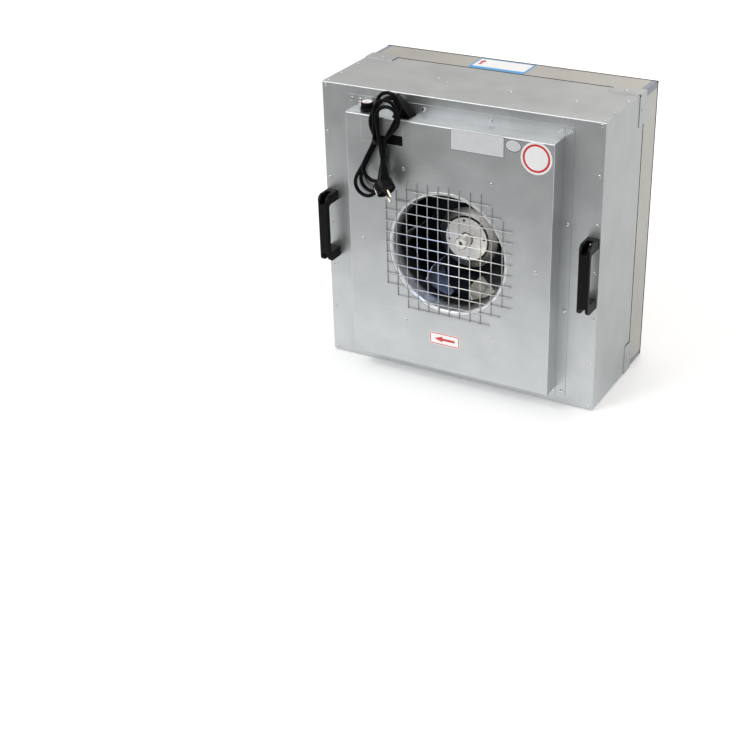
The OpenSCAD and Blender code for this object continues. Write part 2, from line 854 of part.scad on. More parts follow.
// Filter paper folded in deep pleats, as one sheet
module pleated_media() {
    half = half_w - post_w - fit;
    n = floor(2 * half / pleat_pitch);
    start = -n * pleat_pitch / 2;
    shallow = frame_y + frame_t + fit;
    deep = frame_end_y - frame_t - fit - pleat_t;
    front = [for (i = [0:2 * n]) [start + i * pleat_pitch / 2, i % 2 == 0 ? shallow : deep]];
    back = [for (i = [2 * n:-1:0]) front[i] + [0, pleat_t]];
    height = 2 * (half_h - post_w - fit);
    color("ivory") translate([0, 0, mid_z - height / 2]) linear_extrude(height)
        polygon(concat(front, back));
}

// ---- Power cord ----

// Right-angle connector on the power inlet, sloping away from the cord
module cord_connector() {
    w = connector_w;
    h = connector_h;
    color([0.08, 0.08, 0.08]) translate([-inlet_x - w / 2, control_y - connector_d / 2, connector_z])
        difference() {
            translate([0, connector_d, 0]) rotate([90, 0, 0]) linear_extrude(connector_d)
                polygon([[0, 0], [w, 0], [w, 3], [w - 8, 0.55 * h], [w - 18, h - 1], [w - 20, h],
                    [3, h], [0, h - 3]]);
            for (y = [0, connector_d]) translate([-eps, y, h]) rotate([45, 0, 0])
                cube([w, 5, 5]);
        }
}

// A unit vector along v
function unit(v) = v / norm(v);

// The direction of a route at its point i
function heading(p, i) = unit(p[min(i + 1, len(p) - 1)] - p[max(i - 1, 0)]);

// Ring of points round a route's point i
function tube_ring(p, i, r, sides) =
    let (t = heading(p, i), u = unit(cross(t, [0.2, 1, 0.1])), v = cross(u, t))
    [for (k = [0:sides - 1]) p[i] + r * (cos(k * 360 / sides) * u + sin(k * 360 / sides) * v)];

// Tube along a route, closed at both ends
module tube(p, r, sides) {
    n = len(p);
    points = [for (i = [0:n - 1]) each tube_ring(p, i, r, sides)];
    walls = [for (i = [0:n - 2], k = [0:sides - 1])
        let (a = i * sides + k, b = i * sides + (k + 1) % sides)
        each [[a, b, b + sides], [a, b + sides, a + sides]]];
    start_cap = [for (k = [sides - 1:-1:0]) k];
    end_cap = [for (k = [0:sides - 1]) (n - 1) * sides + k];
    polyhedron(points, concat(walls, [start_cap], [end_cap]), convexity = 4);
}

module cord_lead() {
    color([0.08, 0.08, 0.08])
        tube([for (p = lead_route) outlet + [p[0], -p[1] * lead_out, p[2]]], cord_d / 2, cord_sides);
}

module cord_tail() {
    color([0.08, 0.08, 0.08]) tube([for (p = tail_route) tail_start + p], cord_d / 2, cord_sides);
}

// Leaning oval, for the outline of one half of the hank
module loop_oval(x, z, half_l, half_s, lean) {
    translate([x, z]) rotate(lean)
        polygon([for (a = [0:12:348]) [half_s * cos(a), half_l * sin(a)]]);
}

// Outer shape of the tied cord: an upper loop, the neck and a lower loop
module cord_hank() {
    color([0.1, 0.1, 0.1]) along_y(hank_front_y, hank_t) {
        loop_oval(neck_x + 12, neck_z + 48, 48, 21, -12);
        loop_oval(neck_x - 21, neck_z - 60, 63, 21, -18);
        translate([neck_x - neck_w / 2, neck_z - 12]) square([neck_w, 24]);
    }
}

// Strap round the hank's neck
module cord_tie() {
    h = tie_h;
    w = neck_w + 2 * cord_clear;
    d = hank_t + 2 * cord_clear;
    color([0.05, 0.05, 0.05]) translate([neck_x, hank_front_y - cord_clear, neck_z - h / 2])
        difference() {
            translate([-w / 2 - tie_t, -tie_t, 0]) cube([w + 2 * tie_t, d + 2 * tie_t, h]);
            translate([-w / 2, 0, -eps]) cube([w, d, h + 2 * eps]);
        }
}

// Round mains plug: side cord grip, body and two pins
module mains_plug() {
    entry = tail_start + tail_route[len(tail_route) - 1];
    middle = entry - [0, 0, grip_l + plug_r * 0.75];
    color([0.07, 0.07, 0.08]) {
        translate(entry - [0, 0, grip_l]) cylinder(r1 = 7.5, r2 = 5, h = grip_l);
        translate(middle) rotate([0, plug_tilt, plug_turn]) rotate(plug_roll) {
            translate([0, 0, -plug_t / 2]) rotate_extrude() polygon([[0, 0], [plug_r - 6, 0],
                [plug_r - 2, 3], [plug_r, 8], [plug_r, plug_t - 1], [plug_r - 1, plug_t], [0, plug_t]]);
            for (side = [-1, 1]) translate([0, side * pin_gap / 2, plug_t / 2 - eps])
                cylinder(r = pin_r, h = pin_l + eps, $fn = 24);
        }
    }
}

casing_wrap();
side_panel_left();
side_panel_right();
raised_cover();
inlet_ring();
mesh_guard();
cover_screws();
cover_rivets();
casing_rivets();
tab_rivets();
handle_left();
handle_right();
handle_screws();
power_inlet();
speed_control();
speed_knob();
rotor_can();
rotor_boss();
rotor_core();
rotor_shaft();
rotor_screws();
impeller_backplate();
impeller_blades();
impeller_shroud();
motor_stator();
motor_plate();
motor_rail_left();
motor_rail_right();
capacitor();
seal_inlet_side();
frame_top();
frame_bottom();
frame_left();
frame_right();
corner_posts();
pleated_media();
seal_outlet_side();
cord_connector();
cord_lead();
cord_hank();
cord_tie();
cord_tail();
mains_plug();
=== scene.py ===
# %% [markdown]
# # A fan filter unit
# A fan filter unit hangs in a cleanroom ceiling. A fan draws air in through a
# guarded round inlet and pushes it out through a pleated filter. Here one unit
# stands on a narrow wall, as on a workshop floor.
#
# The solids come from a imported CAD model. This lesson dresses them: it gives
# every solid a finish, swaps the plain cord for a real one and adds the small
# things that CAD leaves out.

# %% Load the frame
from math import cos, pi, radians, sin

import bpy
import bmesh
from mathutils import Matrix, Vector


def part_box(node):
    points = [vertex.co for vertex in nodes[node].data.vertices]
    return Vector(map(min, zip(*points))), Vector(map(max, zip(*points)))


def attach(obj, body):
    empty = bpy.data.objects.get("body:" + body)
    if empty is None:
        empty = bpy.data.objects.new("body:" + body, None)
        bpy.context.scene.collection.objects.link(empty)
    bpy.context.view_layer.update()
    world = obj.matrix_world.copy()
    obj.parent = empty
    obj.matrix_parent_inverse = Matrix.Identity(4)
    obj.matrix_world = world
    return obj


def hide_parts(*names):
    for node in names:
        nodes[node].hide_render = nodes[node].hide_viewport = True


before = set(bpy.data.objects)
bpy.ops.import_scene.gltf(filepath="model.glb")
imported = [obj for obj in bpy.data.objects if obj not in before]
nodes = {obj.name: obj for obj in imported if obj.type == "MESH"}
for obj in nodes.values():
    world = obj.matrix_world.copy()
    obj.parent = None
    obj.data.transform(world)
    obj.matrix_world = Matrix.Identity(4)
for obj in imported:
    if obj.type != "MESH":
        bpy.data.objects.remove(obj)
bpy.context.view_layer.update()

# %% [markdown]
# ## Where things are
# Boxes of the CAD nodes give the faces and corners that the new pieces are
# placed from. A label or a cap then stays on its surface if the model changes
# size.

# %% Places on the object
cover_low, cover_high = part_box("raised_cover")
wrap_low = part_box("casing_wrap")[0]
frame_low, frame_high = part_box("frame_top")
knob_low, knob_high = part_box("speed_knob")
flange_low, flange_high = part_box("power_inlet")

cover_face = cover_low.y
mid_z = (cover_low.z + cover_high.z) / 2
raised_half = 0.2515  # half the height of the cover's raised part
cover_top = mid_z + raised_half
control_y = (flange_low.y + flange_high.y) / 2
print("cover face", round(cover_face, 4), "middle", round(mid_z, 4))

# %% [markdown]
# ## The camera
# The camera looks down on the unit from its front right. Its three axes are
# written out as a matrix, because that is exact, where three angles would have
# to be applied in the right order.

# %% Camera
camera_data = bpy.data.cameras.new("camera")
camera_data.lens = 69.27
camera_data.sensor_width = 36
camera_data.clip_end = 50
camera = bpy.data.objects.new("camera", camera_data)
bpy.context.scene.collection.objects.link(camera)
camera_right = Vector((0.86889839, 0.49415106, -0.02881535))
camera_up = Vector((-0.21832503, 0.43483978, 0.87364097))
camera_back = Vector((0.44424067, -0.75281411, 0.48571713))
camera_place = Vector((1.1407, -2.3646, 1.4182))
camera.matrix_world = Matrix((
    (camera_right.x, camera_up.x, camera_back.x, camera_place.x),
    (camera_right.y, camera_up.y, camera_back.y, camera_place.y),
    (camera_right.z, camera_up.z, camera_back.z, camera_place.z),
    (0, 0, 0, 1)))
bpy.context.scene.camera = camera
print("camera lens", camera_data.lens)

# %% [markdown]
# ## The power cord
# The cord is 7 mm thick. It leaves the connector sideways, dips to the waist of
# a hank, and makes three turns below the waist and three above it. From the
# last turn it hangs down to the plug.
#
# A cord is a tube round a line, so the line is drawn first and a bevel gives it
# its thickness. One turn has two straight sides and a round end, like a long
# teardrop. The corners left where pieces of the line meet are then rounded: the
# line is walked in even steps, and each point is averaged with its neighbours.

# %% Places along the cord
cord_d = 0.007
cover_gap = 0.0018  # between the cover's face and the turns nearest to it
outlet_x = -0.1155
outlet_rise = 0.030  # above the foot of the connector
waist_left = 0.0155  # of the outlet
waist_drop = 0.0405  # below the top of the cover

outlet = Vector((outlet_x, control_y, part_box("cord_connector")[0].z + outlet_rise))
waist = Vector((outlet.x - waist_left, 0, cover_top - waist_drop))
layers = [cover_face - cover_gap - cord_d * (k + 0.5) for k in range(4)]
lead_out = outlet.y - layers[1]


def at_waist(across, layer):
    return Vector((waist.x + across, layers[layer], waist.z))


# The lead's steps are across in mm, a share of lead_out, and up in mm.
lead_steps = [(0, 0, 0), (-10, 0, -0.5), (-21, 0.13, -4), (-31, 0.35, -12), (-38, 0.61, -25),
              (-40.5, 0.82, -39), (-37, 0.93, -50), (-31, 1, -59), (-26.5, 1, -67)]
lead = [outlet + Vector((x / 1000, -out * lead_out, z / 1000)) for x, out, z in lead_steps]
# Each turn starts and ends at the waist, at these places. Between two of them it
# reaches out at a lean, in degrees from straight up, and by a length.
left, right = -0.008, 0.008
passes = [at_waist(-0.0065, 1), at_waist(right, 0), at_waist(left, 0), at_waist(right, 1),
          at_waist(left, 2), at_waist(right, 2), at_waist(0.007, 3)]
reaches = [(201, 0.125), (13, 0.094), (196, 0.110), (15, 0.083), (191, 0.082), (17, 0.074)]
# The tail's steps are in mm. The cord ends inside the plug's sleeve.
tail_start = Vector((waist.x + 0.010, layers[3], waist.z - 0.010))
tail_steps = [(2, -4, -8), (5, -5.5, -19), (7, -6, -31), (7.5, -6, -42)]
tail = [tail_start + Vector(step) / 1000 for step in tail_steps]
plug_entry = tail[-1]
tail_end = plug_entry + Vector((0, 0, -0.006))
print("turns", len(reaches), "plug entry", [round(v, 4) for v in plug_entry])

# %% Line of the cord
overrun = 0.05  # of half a circle: how far the round end wraps back at each side
# Shares of the step from one layer to the next, on a side and on the round end.
side_share, end_share = 0.35, 0.3


def turn(start, end, lean, length, radius=0.0245, steps=14):
    """Corners of one turn, without its last. lean is in degrees from straight up."""
    axis = Vector((sin(radians(lean)), 0, cos(radians(lean))))
    outward = Vector((axis.z, 0, -axis.x))
    middle = (start + end) / 2 + axis * (length - radius)
    side = radius if (start - end).dot(outward) > 0 else -radius
    points = [start]
    for i in range(steps + 1):
        angle = pi * ((1 + 2 * overrun) * i / steps - overrun)
        point = middle + outward * (side * cos(angle)) + axis * (radius * sin(angle))
        point.y = start.y + (end.y - start.y) * (side_share + end_share * i / steps)
        points.append(point)
    return points


def soften(points, rounds, gap=0.006):
    """Walks the line in even steps, then rounds its corners by averaging neighbours."""
    walked = []
    for a, b in zip(points, points[1:]):
        count = max(1, round((b - a).length / gap))
        walked += [a.lerp(b, i / count) for i in range(count)]
    walked.append(points[-1])
    for _ in range(rounds):
        middle = [(a + b * 2 + c) / 4 for a, b, c in zip(walked, walked[1:], walked[2:])]
        walked = [walked[0]] + middle + [walked[-1]]
    return walked


line = list(lead)
for start, end, (lean, length) in zip(passes, passes[1:], reaches):
    line += turn(start, end, lean, length)
line = soften(line + [passes[-1]] + tail + [tail_end], 4)
print("cord points", len(line))

# %% The cord as a tube
cord_curve = bpy.data.curves.new("power_cord", "CURVE")
cord_curve.dimensions = "3D"
cord_curve.bevel_depth = cord_d / 2
cord_curve.bevel_resolution = 3
cord_curve.resolution_u = 5
cord_curve.use_fill_caps = True
spline = cord_curve.splines.new("BEZIER")
spline.bezier_points.add(len(line) - 1)
for i, point in enumerate(spline.bezier_points):
    before = line[i] - line[i - 1] if i else line[1] - line[0]
    after = line[i + 1] - line[i] if i + 1 < len(line) else before
    ahead = (before.normalized() + after.normalized()).normalized()
    point.co = line[i]
    point.handle_left_type = "FREE"
    point.handle_right_type = "FREE"
    point.handle_left = line[i] - ahead * before.length / 3
    point.handle_right = line[i] + ahead * after.length / 3
power_cord = bpy.data.objects.new("power_cord", cord_curve)
bpy.context.scene.collection.objects.link(power_cord)

# %% [markdown]
# ## Helpers for modelling
# The pieces below are modelled as by hand, from primitives in edit mode. These
# few helpers clear the selection, pick faces or edges by their place, and put
# a finished piece on its body with its place in its mesh.

# %% Selecting and finishing


def clear_selection():
    if bpy.context.object and bpy.context.object.mode != "OBJECT":
        bpy.ops.object.mode_set(mode="OBJECT")
    bpy.ops.object.select_all(action="DESELECT")


def faces_up(middle, normal):
    return normal.z > 0.9


def faces_down(middle, normal):
    return normal.z < -0.9


def pick(kind, test):
    """In edit mode, selects only the faces or edges that pass the test.

    The test gets a face's middle and normal, or an edge's middle and direction.
    """
    obj = bpy.context.object
    mesh = bmesh.from_edit_mesh(obj.data)
    bpy.context.tool_settings.mesh_select_mode = (False, kind == "edges", kind == "faces")
    for part in (mesh.verts, mesh.edges, mesh.faces):
        for item in part:
            item.select = False
    for item in getattr(mesh, kind):
        if kind == "faces":
            middle, way = item.calc_center_median(), item.normal
        else:
            middle = (item.verts[0].co + item.verts[1].co) / 2
            way = (item.verts[1].co - item.verts[0].co).normalized()
        if test(middle, way):
            item.select_set(True)
    bmesh.update_edit_mesh(obj.data)


def name_piece(name):
    obj = bpy.context.object
    obj.name = name
    obj.data.name = name
    return obj


def modify(obj, kind, **values):
    """Adds a modifier and applies it."""
    bpy.context.view_layer.objects.active = obj
    modifier = obj.modifiers.new(kind.lower(), kind)
    for key, value in values.items():
        setattr(modifier, key, value)
    bpy.ops.object.modifier_apply(modifier=modifier.name)


def settle(obj, body, slot_name, *materials, smooth=30):
    """Puts a finished piece's place into its mesh, and seats it on its body."""
    clear_selection()
    obj.select_set(True)
    bpy.context.view_layer.objects.active = obj
    bpy.ops.object.transform_apply(location=True, rotation=True, scale=True)
    if smooth:
        bpy.ops.object.shade_smooth_by_angle(angle=radians(smooth))
    while len(obj.data.materials) < len(materials):
        obj.data.materials.append(None)
    for i, material in enumerate(materials):
        obj.data.materials[i] = material
    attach(obj, body)


def join_pieces(name, parts):
    clear_selection()
    for part in parts:
        part.select_set(True)
    bpy.context.view_layer.objects.active = parts[0]
    bpy.ops.object.join()
    return name_piece(name)


print("helpers ready")

# %% [markdown]
# ## Finishes
# Small groups of nodes make the patterns that several materials share. A group
# gives out a mask, and each material sets its own values. All patterns read
# Object coordinates, in metres, so they have their real size.

# %% Shared patterns: mottle and brushing


def new_group(name, inputs, outputs):
    group = bpy.data.node_groups.new(name, "ShaderNodeTree")
    for socket_name, kind, default in inputs:
        socket = group.interface.new_socket(socket_name, in_out="INPUT", socket_type=kind)
        socket.default_value = default
    for socket_name, kind in outputs:
        group.interface.new_socket(socket_name, in_out="OUTPUT", socket_type=kind)
    return group, group.nodes.new("NodeGroupInput"), group.nodes.new("NodeGroupOutput")


def math_node(tree, operation, first, second):
    """first and second are numbers, or outputs of other nodes."""
    node = tree.nodes.new("ShaderNodeMath")
    node.operation = operation
    for socket, value in zip(node.inputs, (first, second)):
        if isinstance(value, (int, float)):
            socket.default_value = value
        else:
            tree.links.new(value, socket)
    return node.outputs[0]


def make_mottle():
    """Soft patches of two sizes: how evenly a zinc coat or a casting took its colour."""
    group, given, result = new_group(
        "mottle", [("Scale", "NodeSocketFloat", 20.0), ("Fine Scale", "NodeSocketFloat", 300.0),
                   ("Fine Share", "NodeSocketFloat", 0.4)], [("Mask", "NodeSocketFloat")])
    place = group.nodes.new("ShaderNodeTexCoord")
    broad = group.nodes.new("ShaderNodeTexNoise")
    broad.inputs["Detail"].default_value = 3
    fine = group.nodes.new("ShaderNodeTexNoise")
    fine.inputs["Detail"].default_value = 2
    mix = group.nodes.new("ShaderNodeMix")
    link = group.links.new
    for noise, scale in ((broad, "Scale"), (fine, "Fine Scale")):
        link(place.outputs["Object"], noise.inputs["Vector"])
        link(given.outputs[scale], noise.inputs["Scale"])
    link(given.outputs["Fine Share"], mix.inputs["Factor"])
    link(broad.outputs["Fac"], mix.inputs["A"])
    link(fine.outputs["Fac"], mix.inputs["B"])
    link(mix.outputs["Result"], result.inputs["Mask"])
    return group


def make_brushing():
    """Fine scratches along one direction, as a mask. Stretch sets the direction."""
    group, given, result = new_group(
        "brushing", [("Stretch", "NodeSocketVector", (900.0, 900.0, 20.0))],
        [("Mask", "NodeSocketFloat")])
    place = group.nodes.new("ShaderNodeTexCoord")
    scale = group.nodes.new("ShaderNodeVectorMath")
    scale.operation = "MULTIPLY"
    noise = group.nodes.new("ShaderNodeTexNoise")
    noise.inputs["Scale"].default_value = 1
    noise.inputs["Detail"].default_value = 2
    link = group.links.new
    link(place.outputs["Object"], scale.inputs[0])
    link(given.outputs["Stretch"], scale.inputs[1])
    link(scale.outputs[0], noise.inputs["Vector"])
    link(noise.outputs["Fac"], result.inputs["Mask"])
    return group


mottle_group = make_mottle()
brushing_group = make_brushing()
print("groups", mottle_group.name, brushing_group.name)

# %% Building one material


def put_group(tree, group, **values):
    node = tree.nodes.new("ShaderNodeGroup")
    node.node_tree = group
    for key, value in values.items():
        node.inputs[key.replace("_", " ")].default_value = value
    return node.outputs[0]


def colour_ramp(tree, mask, dark, light, low=0.35, high=0.65):
    """The mask's low values get the first colour, and its high values the second."""
    ramp = tree.nodes.new("ShaderNodeValToRGB")
    ramp.color_ramp.elements[0].position = low
    ramp.color_ramp.elements[0].color = (*dark, 1)
    ramp.color_ramp.elements[1].position = high
    ramp.color_ramp.elements[1].color = (*light, 1)
    tree.links.new(mask, ramp.inputs["Fac"])
    return ramp.outputs["Color"]


def value_range(tree, mask, low, high, start=0.3, end=0.7):
    """Turns a mask that runs from start to end into a value from low to high."""
    node = tree.nodes.new("ShaderNodeMapRange")
    node.inputs["From Min"].default_value = start
    node.inputs["From Max"].default_value = end
    node.inputs["To Min"].default_value = low
    node.inputs["To Max"].default_value = high
    tree.links.new(mask, node.inputs["Value"])
    return node.outputs["Result"]


def new_material(name, **values):
    material = bpy.data.materials.new(name)
    material.use_nodes = True
    shader = material.node_tree.nodes["Principled BSDF"]
    for key, value in values.items():
        shader.inputs[key.replace("_", " ")].default_value = value
    return material, material.node_tree, shader


def add_bump(tree, shader, height, distance, strength):
    bump = tree.nodes.new("ShaderNodeBump")
    bump.inputs["Distance"].default_value = distance
    bump.inputs["Strength"].default_value = strength
    tree.links.new(height, bump.inputs["Height"])
    tree.links.new(bump.outputs["Normal"], shader.inputs["Normal"])


print("material helpers ready")

# %% [markdown]
# ### Galvanised sheet
# Zinc coated sheet is grey, a little blue, and not quite even: pale and dark
# patches some centimetres across, and rolling marks along the sheet. It
# reflects softly, so the roughness is high for a metal.

# %% Metals in sheet
patch_share, mark_share = 0.82, 0.18  # of patches and rolling marks in the pattern


def sheet_metal(name, dark, light, rough, stretch=(500, 500, 12), mottle=14, metallic=1.0):
    material, tree, shader = new_material(name, Metallic=metallic)
    patches = put_group(tree, mottle_group, Scale=mottle, Fine_Scale=420, Fine_Share=0.3)
    marks = put_group(tree, brushing_group, Stretch=stretch)
    both = math_node(tree, "ADD", math_node(tree, "MULTIPLY", patches, patch_share),
                     math_node(tree, "MULTIPLY", marks, mark_share))
    tree.links.new(colour_ramp(tree, both, dark, light), shader.inputs["Base Color"])
    tree.links.new(value_range(tree, both, *rough), shader.inputs["Roughness"])
    add_bump(tree, shader, marks, distance=0.00004, strength=0.4)
    return material


zinc = {"dark": (0.44, 0.46, 0.47), "light": (0.53, 0.55, 0.562), "rough": (0.38, 0.48)}
zinc_sheet = sheet_metal("zinc_sheet", **zinc)
zinc_cover = sheet_metal("zinc_cover", **zinc, stretch=(12, 500, 500))
spun_ring = sheet_metal("spun_ring", (0.66, 0.67, 0.68), (0.76, 0.77, 0.78),
                        rough=(0.36, 0.46), mottle=30)
wheel_sheet = sheet_metal("wheel_sheet", (0.02, 0.022, 0.026), (0.04, 0.043, 0.05),
                          rough=(0.4, 0.5))
blade_sheet = sheet_metal("blade_sheet", (0.19, 0.19, 0.195), (0.25, 0.25, 0.255),
                          rough=(0.3, 0.4), metallic=0.4)
guard_zinc = sheet_metal("guard_zinc", (0.36, 0.37, 0.38), (0.46, 0.47, 0.48),
                         rough=(0.48, 0.58), mottle=60)
print("sheet metals made")

# %% Painted shade: darker down the bell of the inlet ring
tree = spun_ring.node_tree
split = tree.nodes.new("ShaderNodeSeparateXYZ")
tree.links.new(tree.nodes.new("ShaderNodeTexCoord").outputs["Object"], split.inputs[0])
# Painted shade: the ring's colour darkens from full to 0.07 down the bell, where shade falls
# inside the casing.
depth = value_range(tree, split.outputs["Y"], 1.0, 0.07,
                    start=cover_face + 0.011, end=cover_face + 0.027)
shader = tree.nodes["Principled BSDF"]
painted_bell_shade = tree.nodes.new("ShaderNodeVectorMath")
painted_bell_shade.operation = "SCALE"
tree.links.new(shader.inputs["Base Color"].links[0].from_socket, painted_bell_shade.inputs[0])
tree.links.new(depth, painted_bell_shade.inputs["Scale"])
tree.links.new(painted_bell_shade.outputs[0], shader.inputs["Base Color"])
print("bell shaded")

# %% Metals of the smaller parts
rivet_metal = sheet_metal("rivet_metal", (0.46, 0.46, 0.46), (0.6, 0.6, 0.6),
                          rough=(0.2, 0.3), mottle=200)
screw_zinc = sheet_metal("screw_zinc", (0.42, 0.43, 0.44), (0.8, 0.81, 0.82),
                         rough=(0.07, 0.15), mottle=200)
cast_metal = sheet_metal("cast_metal", (0.66, 0.65, 0.64), (0.8, 0.79, 0.77),
                         rough=(0.12, 0.2), mottle=60)
can_metal = sheet_metal("can_metal", (0.66, 0.65, 0.63), (0.8, 0.79, 0.76),
                        rough=(0.36, 0.48), mottle=40)
# The can's end disc was turned on a lathe, so its gloss streaks out from the axis.
tree = can_metal.node_tree
shader = tree.nodes["Principled BSDF"]
shader.inputs["Anisotropic"].default_value = 0.6
tangent = tree.nodes.new("ShaderNodeTangent")
tangent.direction_type = "RADIAL"
tangent.axis = "Y"
tree.links.new(tangent.outputs[0], shader.inputs["Tangent"])
motor_steel = sheet_metal("motor_steel", (0.06, 0.06, 0.06), (0.12, 0.12, 0.12),
                          rough=(0.5, 0.6))
frame_metal = sheet_metal("frame_metal", (0.47, 0.462, 0.434), (0.55, 0.542, 0.514),
                          rough=(0.4, 0.5), stretch=(12, 500, 500))
pin_metal = sheet_metal("pin_metal", (0.5, 0.46, 0.38), (0.66, 0.62, 0.54),
                        rough=(0.2, 0.3), mottle=200)
print("other metals made")

# %% [markdown]
# ### Plastics, rubber and paper
# Moulded plastic has a fine grain that shows only in its gloss. Foam rubber is
# near black with open pores. Filter paper is a soft creamy white.

# %% Plastics, rubber and paper


def moulded(name, dark, light, rough=(0.35, 0.5), grain=1800, depth=0.00004, **values):
    material, tree, shader = new_material(name, **values)
    mask = put_group(tree, mottle_group, Scale=60, Fine_Scale=grain, Fine_Share=0.6)
    tree.links.new(colour_ramp(tree, mask, dark, light), shader.inputs["Base Color"])
    tree.links.new(value_range(tree, mask, *rough), shader.inputs["Roughness"])
    add_bump(tree, shader, mask, distance=depth, strength=0.6)
    return material


black_plastic = moulded("black_plastic", (0.002, 0.002, 0.003), (0.004, 0.004, 0.005),
                        Specular_IOR_Level=0.12)
jacket = {"dark": (0.001, 0.001, 0.002), "light": (0.003, 0.003, 0.004)}
cord_black = moulded("cord_black", **jacket, rough=(0.36, 0.48), grain=900,
                     Specular_IOR_Level=0.08)
plug_black = moulded("plug_black", **jacket, rough=(0.3, 0.42), Specular_IOR_Level=0.12)
# Foam of the seals, and also the near-black ring that paints the shade in the motor's groove.
foam_and_groove_shade = moulded("foam_and_groove_shade", (0.006, 0.0055, 0.005), (0.018, 0.017, 0.016),
                    rough=(0.7, 0.9), grain=700, depth=0.0005)
post_plastic = moulded("post_plastic", (0.2, 0.22, 0.27), (0.24, 0.26, 0.31),
                       rough=(0.35, 0.45))
filter_paper = moulded("filter_paper", (0.83, 0.82, 0.75), (0.9, 0.89, 0.83),
                       rough=(0.8, 0.95), grain=500, depth=0.0003)
mesh_white = moulded("mesh_white", (0.82, 0.82, 0.8), (0.9, 0.9, 0.88), rough=(0.4, 0.5))
capacitor_white = moulded("capacitor_white", (0.66, 0.66, 0.63), (0.72, 0.72, 0.69),
                          rough=(0.3, 0.4))
film = {"rough": (0.3, 0.4), "depth": 0.00001}
label_white = moulded("label_white", (0.8, 0.8, 0.8), (0.86, 0.86, 0.86), **film)
label_silver = moulded("label_silver", (0.66, 0.67, 0.69), (0.74, 0.75, 0.77),
                       rough=(0.3, 0.42), depth=0.00001, Metallic=0.3)
label_red = moulded("label_red", (0.55, 0.02, 0.02), (0.62, 0.03, 0.03), **film)
label_blue = moulded("label_blue", (0.03, 0.3, 0.68), (0.04, 0.35, 0.76), **film)
label_black = moulded("label_black", (0.002, 0.002, 0.002), (0.005, 0.005, 0.005),
                      rough=(0.35, 0.45), depth=0.00001, Specular_IOR_Level=0.15)
cap_white = moulded("cap_white", (0.78, 0.72, 0.73), (0.86, 0.8, 0.81), rough=(0.3, 0.4))
print("plastics made")

# %% Finishes of the CAD solids
finishes = {
    zinc_sheet: ["casing_wrap", "side_panel_left", "side_panel_right",
                 "motor_plate", "motor_rail_left", "motor_rail_right"],
    zinc_cover: ["raised_cover"],
    spun_ring: ["inlet_ring"],
    guard_zinc: ["mesh_guard"],
    rivet_metal: ["cover_rivets", "casing_rivets", "tab_rivets"],
    screw_zinc: ["cover_screws", "handle_screws"],
    motor_steel: ["rotor_screws", "rotor_core", "rotor_shaft", "motor_stator"],
    black_plastic: ["handle_left", "handle_right", "power_inlet", "speed_knob", "speed_control"],
    can_metal: ["rotor_can"],
    cast_metal: ["rotor_boss"],
    wheel_sheet: ["impeller_backplate", "impeller_shroud"],
    blade_sheet: ["impeller_blades"],
    capacitor_white: ["capacitor"],
    foam_and_groove_shade: ["seal_inlet_side", "seal_outlet_side"],
    frame_metal: ["frame_top", "frame_bottom", "frame_left", "frame_right"],
    post_plastic: ["corner_posts"],
    filter_paper: ["pleated_media"],
    cord_black: ["cord_connector", "cord_lead", "cord_hank", "cord_tie", "cord_tail"],
    plug_black: ["mains_plug"],
}
for material, names in finishes.items():
    for name in names:
        slots = nodes[name].data.materials
        if len(slots):
            slots[0] = material
        else:
            slots.append(material)
print("finished", sum(len(names) for names in finishes.values()), "solids")

# %% [markdown]
# ## Cord pieces
# The real connector is a moulded right-angle socket. A cube is cut back with
# three slanting planes, then all its edges are rounded. A short tapered sleeve
# guards the cord where it leaves.

# %% Connector
con_low, con_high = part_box("cord_connector")
# Each cut is a point on its plane, x and z, and the plane's normal, x and z.
cuts = [(con_high.x, con_low.z + 0.003, 19, 8),
        (con_high.x - 0.008, con_low.z + 0.022, 17, 10),
        (con_low.x, con_high.z - 0.003, -1, 1)]
clear_selection()
bpy.ops.mesh.primitive_cube_add(size=1, location=(con_low + con_high) / 2,
                                scale=con_high - con_low)
connector = name_piece("connector_body")
bpy.ops.object.transform_apply(location=True, rotation=True, scale=True)
bpy.ops.object.mode_set(mode="EDIT")
for x, z, nx, nz in cuts:
    bpy.ops.mesh.select_all(action="SELECT")
    bpy.ops.mesh.bisect(plane_co=(x, 0, z), plane_no=(nx, 0, nz), use_fill=True, clear_outer=True)
bpy.ops.object.mode_set(mode="OBJECT")
modify(connector, "BEVEL", width=0.0022, segments=3, limit_method="ANGLE", angle_limit=radians(20))
print("connector faces", len(connector.data.polygons))

# %% Grip ribs on the connector's sides
rib_size = (0.012, 0.0008, 0.0014)
first_rib = (con_low.x + 0.010, con_low.z + 0.011)
rib_step = (0.0012, 0.0042)
ribs = []
for k in range(4):
    for side in (con_low.y, con_high.y):
        rib_place = (first_rib[0] + rib_step[0] * k, side, first_rib[1] + rib_step[1] * k)
        bpy.ops.mesh.primitive_cube_add(size=1, location=rib_place, scale=rib_size)
        ribs.append(bpy.context.object)
        modify(ribs[-1], "BEVEL", width=0.0003, segments=2)
connector = join_pieces("connector_body", [connector] + ribs)
settle(connector, "casing", "cord_jacket", plug_black)
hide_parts("cord_connector")
print("connector ribs", len(ribs))

# %% Sleeves: tapered guards where the cord leaves


def sleeve(name, start, middle, end, r_start, r_end):
    """A tapered tube, bent along three points."""
    curve = bpy.data.curves.new(name, "CURVE")
    curve.dimensions = "3D"
    curve.bevel_depth = r_start
    curve.bevel_resolution = 3
    curve.resolution_u = 12
    curve.use_fill_caps = True
    spline = curve.splines.new("BEZIER")
    spline.bezier_points.add(2)
    radii = (1, (r_start + r_end) / 2 / r_start, r_end / r_start)
    for point, place, radius in zip(spline.bezier_points, (start, middle, end), radii):
        point.co = place
        point.radius = radius
        point.handle_left_type = "AUTO"
        point.handle_right_type = "AUTO"
    obj = bpy.data.objects.new(name, curve)
    bpy.context.scene.collection.objects.link(obj)
    clear_selection()
    obj.select_set(True)
    bpy.context.view_layer.objects.active = obj
    bpy.ops.object.convert(target="MESH")
    return name_piece(name)


